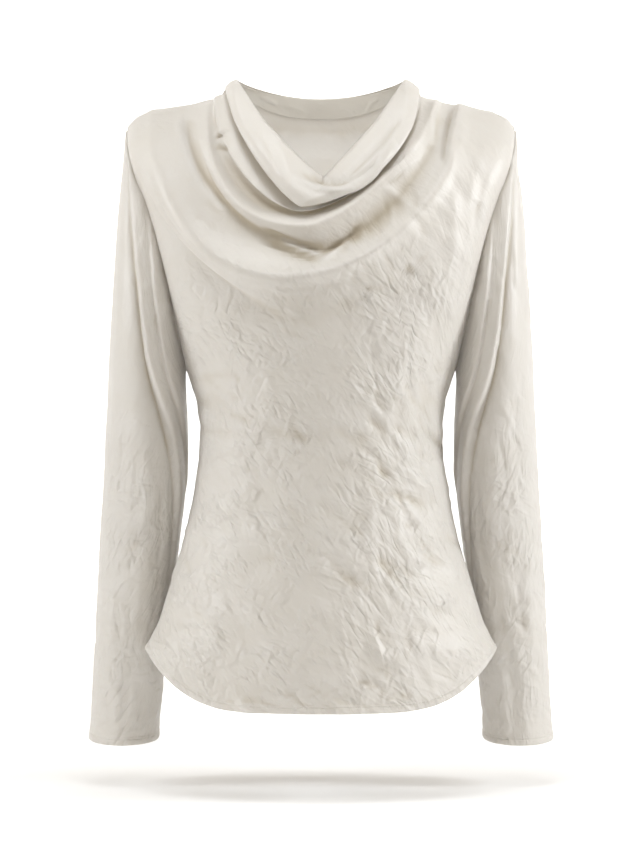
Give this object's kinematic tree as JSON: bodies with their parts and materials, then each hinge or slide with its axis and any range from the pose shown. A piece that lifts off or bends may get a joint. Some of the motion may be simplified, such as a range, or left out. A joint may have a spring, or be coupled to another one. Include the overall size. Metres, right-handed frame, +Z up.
{
  "type": "cowl neck top",
  "caption": "Long-sleeved ivory satin top, filled out as worn, with a soft cowl hanging in folds at the front neck and a curved shirt-tail hem.",
  "frame": {"origin": "between the shoulders at the base of the neck, where the wearer's shoulders hold it", "axes": "+Z up, -Y is the front, +X towards the right of a viewer who faces the front"},
  "size_m": [0.4724, 0.2361, 0.6682],
  "materials": {
    "ivory_satin": "soft satin",
    "facing_satin": "soft satin"
  },
  "bodies": {
    "root": {"front_panel": "ivory_satin", "back_panel": "ivory_satin", "sleeve_left": "ivory_satin", "sleeve_right": "ivory_satin", "back_neck_facing": "facing_satin"}
  },
  "joints": []
}
